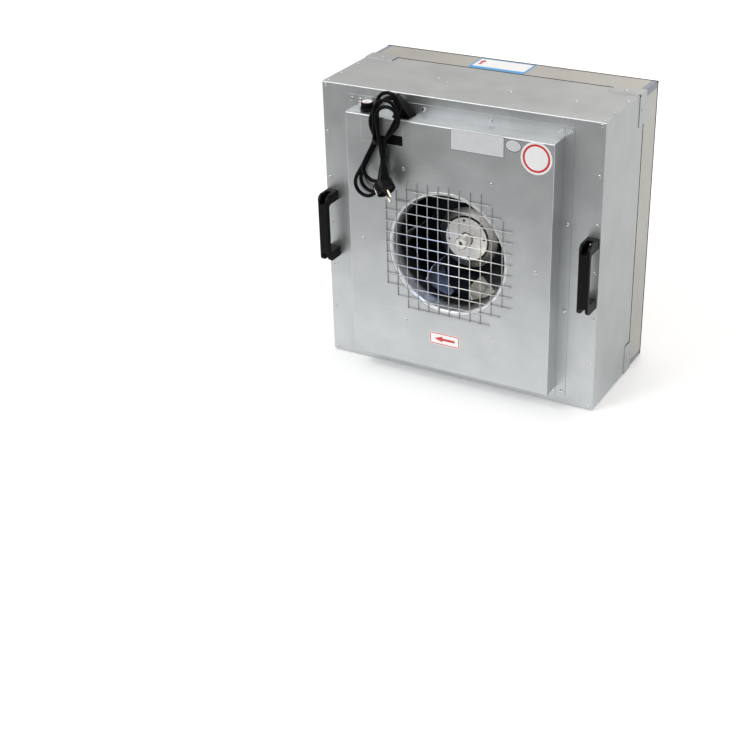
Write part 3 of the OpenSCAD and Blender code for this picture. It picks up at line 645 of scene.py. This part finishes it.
# The first sleeve starts inside the connector and follows the line's first points.
connector_sleeve = sleeve("connector_sleeve", line[0] + Vector((0.002, 0, 0)), line[2], line[4],
                          r_start=0.0062, r_end=0.0040)
settle(connector_sleeve, "casing", "cord_jacket", plug_black)
sleeve_depth = 0.016
plug_sleeve = sleeve("plug_sleeve", plug_entry + Vector((0, 0, -sleeve_depth)),
                     plug_entry + Vector((0, 0, 0.004)),
                     plug_entry + Vector((-0.0022, 0.0004, 0.026)), r_start=0.0105, r_end=0.0041)
settle(plug_sleeve, "casing", "cord_jacket", plug_black)
print("sleeves made")

# %% [markdown]
# ### The mains plug
# A round plug with two pins. It is modelled upright from a cylinder. A matrix
# then turns it about its own axis, tips it over, swings it round and moves it
# to the end of the cord.

# %% Plug body
plug_r = 0.019
# The sleeve starts inside the plug, three quarters of its radius above its middle.
plug_middle = plug_entry - Vector((0, 0, sleeve_depth + plug_r * 0.75))
plug_turn = (Matrix.Rotation(radians(-29), 4, "Z") @ Matrix.Rotation(radians(128), 4, "Y")
             @ Matrix.Rotation(radians(-75), 4, "Z"))
plug_place = Matrix.Translation(plug_middle) @ plug_turn
clear_selection()
bpy.ops.mesh.primitive_cylinder_add(vertices=40, radius=plug_r, depth=0.020)
plug_body = name_piece("plug_body")
bpy.ops.object.mode_set(mode="EDIT")
pick("faces", faces_up)
bpy.ops.mesh.inset(thickness=0.0022, depth=0)
bpy.ops.mesh.inset(thickness=0.0006, depth=-0.0035)
pick("faces", faces_down)
bpy.ops.mesh.inset(thickness=0.004, depth=0.0025)
bpy.ops.mesh.inset(thickness=0.004, depth=0.0015)
bpy.ops.object.mode_set(mode="OBJECT")
modify(plug_body, "BEVEL", width=0.0008, segments=2, limit_method="ANGLE",
       angle_limit=radians(40))
plug_body.matrix_world = plug_place
settle(plug_body, "casing", "cord_jacket", plug_black)
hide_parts("mains_plug")
print("plug faces", len(plug_body.data.polygons))

# %% Plug pins and side contacts
pin_r, pin_length = 0.0024, 0.022
contact_size = (0.0016, 0.0055, 0.0125)
# Out from the plug's axis, and up from its middle.
pin_out, pin_up = 0.0095, 0.0175
contact_out, contact_up = 0.0186, 0.003
pins = []
for side in (-1, 1):
    bpy.ops.mesh.primitive_cylinder_add(vertices=20, radius=pin_r, depth=pin_length,
                                        location=(0, side * pin_out, pin_up))
    pin = bpy.context.object
    bpy.ops.object.mode_set(mode="EDIT")
    pick("faces", faces_up)
    bpy.ops.mesh.inset(thickness=0.0007, depth=0.0006)
    bpy.ops.object.mode_set(mode="OBJECT")
    pins.append(pin)
    contact_place = (side * contact_out, 0, contact_up)
    bpy.ops.mesh.primitive_cube_add(size=1, location=contact_place, scale=contact_size)
    contact = bpy.context.object
    modify(contact, "BEVEL", width=0.0005, segments=2)
    pins.append(contact)
plug_pins = join_pieces("plug_pins", pins)
bpy.ops.object.transform_apply(location=True, rotation=True, scale=True)
plug_pins.matrix_world = plug_place
settle(plug_pins, "casing", "zinc_screw", pin_metal)
print("pins made", len(pins))

# %% [markdown]
# ### The strap
# A flat strap holds the turns at the waist. A cylinder with no ends is
# squeezed to an oval, and Solidify gives it its thickness.

# %% Strap round the waist
strap_width = 0.009
strap_half_depth = 0.0128
tie_low, tie_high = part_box("cord_tie")
strap_place = ((tie_low.x + tie_high.x) / 2, (layers[0] + layers[2]) / 2 - 0.001, waist.z)
clear_selection()
bpy.ops.mesh.primitive_cylinder_add(vertices=32, radius=1, depth=strap_width,
                                    end_fill_type="NOTHING", location=strap_place)
strap = name_piece("cord_strap")
strap.scale = ((tie_high.x - tie_low.x) / 2, strap_half_depth, 1)
bpy.ops.object.transform_apply(location=True, rotation=True, scale=True)
modify(strap, "SOLIDIFY", thickness=0.0012, offset=-1)
modify(strap, "BEVEL", width=0.0003, segments=2, limit_method="ANGLE")
settle(strap, "casing", "cord_jacket", plug_black)
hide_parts("cord_tie")
print("strap made")

# %% Seat the cord
power_cord.data.materials.append(cord_black)
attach(power_cord, "casing")
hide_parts("cord_lead", "cord_hank", "cord_tail")
print("cord seated")

# %% [markdown]
# ## Labels
# Real units carry a data plate and stickers. Here they are blank: a rim, a
# ring or an arrow, and nothing to read. Each is a thin sheet: a flat shape is
# inset in rings, the rings get their colours, and Solidify gives it a little
# thickness.

# %% Making a flat label
label_t = 0.0002  # also how much higher a label lies that is stuck on another


def rounded_plate(name, width, height, radius):
    """A flat plate on X and Y with rounded corners, its middle at the origin."""
    clear_selection()
    bpy.ops.mesh.primitive_plane_add(size=1)
    plate = name_piece(name)
    plate.scale = (width, height, 1)
    bpy.ops.object.transform_apply(location=True, rotation=True, scale=True)
    bpy.ops.object.mode_set(mode="EDIT")
    bpy.ops.mesh.select_all(action="SELECT")
    bpy.ops.mesh.bevel(offset=radius, segments=5, affect="VERTICES")
    bpy.ops.object.mode_set(mode="OBJECT")
    return plate


def disc_plate(name, width, height):
    clear_selection()
    bpy.ops.mesh.primitive_circle_add(vertices=64, radius=0.5, fill_type="NGON")
    plate = name_piece(name)
    plate.scale = (width, height, 1)
    bpy.ops.object.transform_apply(location=True, rotation=True, scale=True)
    return plate


def ring(plate, thickness, inner_slot):
    """Insets the middle face, and gives what lies inside the ring another material."""
    while len(plate.data.materials) <= inner_slot:
        plate.data.materials.append(None)
    bpy.context.view_layer.objects.active = plate
    bpy.ops.object.mode_set(mode="EDIT")
    pick("faces", lambda middle, normal: middle.length < 0.002)
    bpy.ops.mesh.inset(thickness=thickness, depth=0)
    plate.active_material_index = inner_slot
    bpy.ops.object.material_slot_assign()
    bpy.ops.object.mode_set(mode="OBJECT")


def stick(plate, place, facing, *materials):
    """Gives the label its thickness and lays it on its surface. facing is front or top."""
    modify(plate, "SOLIDIFY", thickness=label_t, offset=1)
    if facing == "front":
        plate.matrix_world = Matrix.Translation(place) @ Matrix.Rotation(radians(90), 4, "X")
    else:
        plate.matrix_world = Matrix.Translation(place)
    settle(plate, "casing", "galvanised_sheet", *materials, smooth=0)


# A label on the front is placed by its middle: across, and up from base_z.
front_y = cover_face - 0.0001
base_z = wrap_low.z + 0.0012
print("label helpers ready")

# %% Data plate, oval sticker and round sticker
data_plate = rounded_plate("data_plate", 0.1065, 0.039, 0.001)
ring(data_plate, 0.0006, 1)
stick(data_plate, (0.0618, front_y, base_z + 0.5185), "front", label_black, label_silver)
oval = disc_plate("oval_sticker", 0.034, 0.025)
ring(oval, 0.0006, 1)
ring(oval, 0.0014, 2)
ring(oval, 0.0006, 3)
stick(oval, (0.1329, front_y, base_z + 0.5245), "front",
      label_silver, label_black, label_silver, label_silver)
round_d = 0.0608
round_sticker = disc_plate("round_sticker", round_d, round_d)
ring(round_sticker, 0.004, 1)
ring(round_sticker, 0.004, 2)
stick(round_sticker, (0.1779, front_y, base_z + 0.508), "front",
      label_white, label_red, label_white)
print("round labels made")

# %% Arrow label


def arrow(name, length, height, place, facing, angle, material):
    """An arrow from a plane: its end is extruded to a wide head, and then to a point."""
    clear_selection()
    bpy.ops.mesh.primitive_plane_add(size=1, location=(length * 0.2, 0, 0))
    shape = name_piece(name)
    shape.scale = (length * 0.6, height * 0.4, 1)
    bpy.ops.object.transform_apply(location=True, rotation=True, scale=True)
    bpy.ops.object.mode_set(mode="EDIT")
    pick("edges", lambda middle, way: middle.x < -length * 0.09)
    bpy.ops.mesh.extrude_region_move()
    bpy.ops.transform.resize(value=(1, 2.5, 1))
    bpy.ops.mesh.extrude_region_move(TRANSFORM_OT_translate={"value": (-length * 0.4, 0, 0)})
    bpy.ops.transform.resize(value=(1, 0.02, 1))
    bpy.ops.object.mode_set(mode="OBJECT")
    shape.data.transform(Matrix.Rotation(radians(angle), 4, "Z"))
    stick(shape, place, facing, material)


arrow_x, arrow_z = -0.006, base_z + 0.105
arrow_label = rounded_plate("arrow_label", 0.065, 0.026, 0.0035)
ring(arrow_label, 0.0010, 1)
ring(arrow_label, 0.0018, 2)
stick(arrow_label, (arrow_x, front_y, arrow_z), "front", label_white, label_red, label_white)
arrow("turn_arrow", 0.044, 0.012, (arrow_x, front_y - label_t, arrow_z), "front", 0, label_red)
wiring = rounded_plate("wiring_label", 0.089, 0.042, 0.001)
ring(wiring, 0.0005, 1)
stick(wiring, (-0.135, front_y, base_z + 0.509), "front", label_silver, zinc_cover)
block = rounded_plate("wiring_block", 0.034, 0.019, 0.0006)
stick(block, (-0.1075, front_y - label_t, base_z + 0.4985), "front", label_black)
print("arrow and wiring labels made")

# %% Filter label on the frame's top
label_x, label_y = -0.016, (frame_low.y + frame_high.y) / 2
top_z = frame_high.z + 0.0001
filter_label = rounded_plate("filter_label", 0.117, 0.060, 0.0008)
stick(filter_label, (label_x, label_y, top_z), "top", label_blue)
panel = rounded_plate("filter_panel", 0.110, 0.046, 0.0005)
stick(panel, (label_x, label_y + 0.0035, top_z + label_t), "top", label_white)
arrow("flow_arrow", 0.028, 0.013, (-0.061, label_y + 0.006, top_z + label_t * 2), "top", -90,
      label_red)
print("filter label made")

# %% [markdown]
# ## Filter face
# The pleated paper lies behind a mesh of slit and stretched aluminium, whose
# holes are small diamonds. Two sets of thin slanting strips give the same
# diamonds with few faces. One strip is modelled, and the others are copies of
# it at a fixed pitch, cut to the frame's opening at the end.

# %% Diamond mesh
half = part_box("frame_right")[0].x  # of the opening, which is square
edge_gap = 0.0002
mesh_y = frame_high.y - 0.0024
layer_step = 0.0001  # of each set of strips from the mesh's middle
pitch = 0.006
slant = radians(28)
# A slanting strip has to be longer than the opening is wide, and the sets have
# to start below it and end above it.
strip_size = (half * 2.4, 0.0004, 0.0006)
rows = int(half * 2 / pitch * (1 + 1.1 * sin(slant)))
strips = []
clear_selection()
for direction in (-1, 1):
    strip_place = (0, mesh_y + direction * layer_step, mid_z)
    bpy.ops.mesh.primitive_cube_add(size=1, location=strip_place, scale=strip_size)
    strip = name_piece("strip")
    bpy.ops.object.transform_apply(location=False, rotation=False, scale=True)
    strip.rotation_euler = (0, direction * slant, 0)
    bpy.ops.object.transform_apply(location=False, rotation=True, scale=False)
    strip.location.z = mid_z - rows * pitch / 2
    modify(strip, "ARRAY", count=rows + 1, use_relative_offset=False, use_constant_offset=True,
           constant_offset_displace=(0, 0, pitch))
    strips.append(strip)
diamond_mesh = join_pieces("diamond_mesh", strips)
bpy.ops.object.transform_apply(location=True, rotation=True, scale=True)
bpy.ops.object.mode_set(mode="EDIT")
for normal in ((1, 0, 0), (-1, 0, 0), (0, 0, 1), (0, 0, -1)):
    edge = Vector((0, 0, mid_z)) + Vector(normal) * (half - edge_gap)
    bpy.ops.mesh.select_all(action="SELECT")
    bpy.ops.mesh.bisect(plane_co=edge, plane_no=normal, use_fill=True, clear_outer=True)
bpy.ops.object.mode_set(mode="OBJECT")
settle(diamond_mesh, "casing", "filter_paper", mesh_white, smooth=0)
print("diamond mesh faces", len(diamond_mesh.data.polygons))

# %% [markdown]
# ## Groove shade
# A near-black ring fills the groove between the motor's end disc and its can. It is painted shade:
# it stands for the dark of the gap.

# %% Ring in the groove of the motor
groove_r = 0.046
shade_ring_r = 0.0022
groove_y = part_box("rotor_can")[0].y + 0.0042
# Painted shade: this near-black ring stands for the shade in the groove.
clear_selection()
bpy.ops.mesh.primitive_torus_add(major_radius=groove_r, minor_radius=shade_ring_r,
                                 major_segments=64, minor_segments=10,
                                 location=(0, groove_y, mid_z), rotation=(radians(90), 0, 0))
groove_shade_ring = name_piece("groove_shade_ring")
settle(groove_shade_ring, "fan_rotor", "seal_rubber", foam_and_groove_shade)
print("dust seal faces", len(groove_shade_ring.data.polygons))

# %% [markdown]
# ## Knob cap
# The knob has a pale round cap with a pointer line, so its position can be
# read from above.

# %% Knob cap and pointer
cap_r, cap_t = 0.0098, 0.0008
pointer_size = (0.0009, 0.0058, 0.0004)
knob_mid = (knob_low + knob_high) / 2
clear_selection()
bpy.ops.mesh.primitive_cylinder_add(vertices=48, radius=cap_r, depth=cap_t,
                                    location=(knob_mid.x, knob_mid.y, knob_high.z))
knob_cap = name_piece("knob_cap")
bpy.ops.object.mode_set(mode="EDIT")
pick("faces", faces_up)
bpy.ops.mesh.inset(thickness=0.0008, depth=0.0003)
bpy.ops.mesh.inset(thickness=0.0010, depth=-0.0003)
bpy.ops.object.mode_set(mode="OBJECT")
settle(knob_cap, "speed_knob", "zinc_screw", cap_white)
pointer_place = (knob_mid.x, knob_mid.y - 0.0050, knob_high.z + 0.0005)
bpy.ops.mesh.primitive_cube_add(size=1, location=pointer_place, scale=pointer_size)
pointer = name_piece("knob_pointer")
modify(pointer, "BEVEL", width=0.0001, segments=1)
settle(pointer, "speed_knob", "black_plastic", black_plastic)
print("knob cap made")

# %% [markdown]
# ## Floor and light
# A pale floor carries the object's shadow. To the camera it fades to white far
# away. The sheet mirrors a painted floor: a painted reflection keeps it dark well
# in front of the unit, and a painted light makes it glow a little close to its
# foot. Large soft lamps light the unit evenly, and the world is white to the camera and pale in
# reflections.

# %% Floor
seen_pale = 0.93  # of the floor, to the camera
painted_mirror_dark, floor_pale = 0.2, 0.95  # painted reflection: how the sheet sees the floor, dark far in front and pale near
foot_glow = 0.38  # painted light: how much the floor glows in the sheet, close to the unit's foot
seen_glow = 0.16  # of the floor to the camera, before it fades to white

clear_selection()
bpy.ops.mesh.primitive_plane_add(size=60, location=(0, 0, 0))
floor = name_piece("floor")
floor_material, tree, shader = new_material("floor_pale", Roughness=0.6)
shader.inputs["Emission Color"].default_value = (1, 1, 1, 1)
place = tree.nodes.new("ShaderNodeTexCoord")
away = tree.nodes.new("ShaderNodeVectorMath")
away.operation = "LENGTH"
split = tree.nodes.new("ShaderNodeSeparateXYZ")
tree.links.new(place.outputs["Object"], away.inputs[0])
tree.links.new(place.outputs["Object"], split.inputs[0])
rays = tree.nodes.new("ShaderNodeLightPath")
seen = rays.outputs["Is Camera Ray"]
# Painted reflection: for rays other than the camera's, the floor is dark well in front of the
# unit, so the top of the sheet mirrors it darker.
near = value_range(tree, split.outputs["Y"], painted_mirror_dark, floor_pale, start=-1.2, end=-0.45)
tree.links.new(math_node(tree, "MAXIMUM", near, math_node(tree, "MULTIPLY", seen, seen_pale)),
               shader.inputs["Base Color"])
far_glow = value_range(tree, away.outputs["Value"], seen_glow, 1.0, start=2.0, end=6.0)
# Painted light: the floor glows a little near the unit's foot for rays other than the camera's, so
# the sheet's lower part is brighter.
painted_foot_glow = math_node(
    tree, "MULTIPLY",
    value_range(tree, split.outputs["Y"], 0.0, foot_glow, start=-0.9, end=-0.3),
    value_range(tree, split.outputs["Y"], 1.0, 0.0, start=-0.15, end=0.1))
glow = math_node(tree, "ADD", math_node(tree, "MULTIPLY", seen, far_glow),
                 math_node(tree, "MULTIPLY", math_node(tree, "SUBTRACT", 1.0, seen), painted_foot_glow))
tree.links.new(glow, shader.inputs["Emission Strength"])
floor.data.materials.append(floor_material)
print("floor made")

# %% Lamps


def add_lamp(name, kind, place, target, power, colour, **values):
    """A lamp at place that shines towards target."""
    data = bpy.data.lights.new(name, kind)
    for key, value in values.items():
        setattr(data, key, value)
    data.energy = power
    data.color = colour
    lamp = bpy.data.objects.new(name, data)
    bpy.context.scene.collection.objects.link(lamp)
    lamp.location = place
    lamp.rotation_euler = (Vector(target) - Vector(place)).to_track_quat("-Z", "Y").to_euler()


def area_lamp(name, place, target, size, power, colour=(1, 1, 1)):
    add_lamp(name, "AREA", place, target, power, colour, shape="RECTANGLE", size=size[0],
             size_y=size[1])


def spot_lamp(name, place, target, width, power, colour):
    add_lamp(name, "SPOT", place, target, power, colour, spot_size=radians(width),
             spot_blend=0.8, shadow_soft_size=0.03)


unit_middle = (0, 0, 0.3)
area_lamp("key", (-1.4, -2.2, 2.6), unit_middle, (1.8, 1.8), 55)
area_lamp("fill", (2.6, -1.2, 1.6), unit_middle, (1.6, 2.0), 14)
area_lamp("top", (0.2, 0.8, 3.2), (0, 0, 0.5), (2.4, 2.4), 27, (1, 0.95, 0.87))
area_lamp("back", (0.1, 3.0, 0.55), unit_middle, (1.8, 1.0), 21)
# Two narrow spots shine through the inlet, each on one blade.
spot_lamp("cool_spot", (0.16, -1.45, 1.5), (-0.055, -0.03, 0.17), 4.2, 300, (0.36, 0.52, 1))
spot_lamp("warm_spot", (0.30, -1.45, 1.5), (0.02, -0.03, 0.165), 4.0, 450, (1, 0.97, 0.8))
print("lamps made")

# %% World
glossy_strength = 0.75
least_strength = 0.55

world = bpy.data.worlds.new("studio")
bpy.context.scene.world = world
world.use_nodes = True
tree = world.node_tree
background = tree.nodes["Background"]
rays = tree.nodes.new("ShaderNodeLightPath")
seen = math_node(tree, "MAXIMUM",
                 rays.outputs["Is Camera Ray"], rays.outputs["Is Transmission Ray"])
glossy = math_node(tree, "MULTIPLY", rays.outputs["Is Glossy Ray"], glossy_strength)
lit = math_node(tree, "MAXIMUM", math_node(tree, "MAXIMUM", seen, glossy), least_strength)
tree.links.new(lit, background.inputs["Strength"])
tree.links.new(colour_ramp(tree, rays.outputs["Is Glossy Ray"], (1, 1, 1), (1, 0.975, 0.94), 0, 1),
               background.inputs["Color"])
bpy.context.scene.view_settings.view_transform = "Standard"
print("world made")

# %% Update the view layer
bpy.context.view_layer.update()
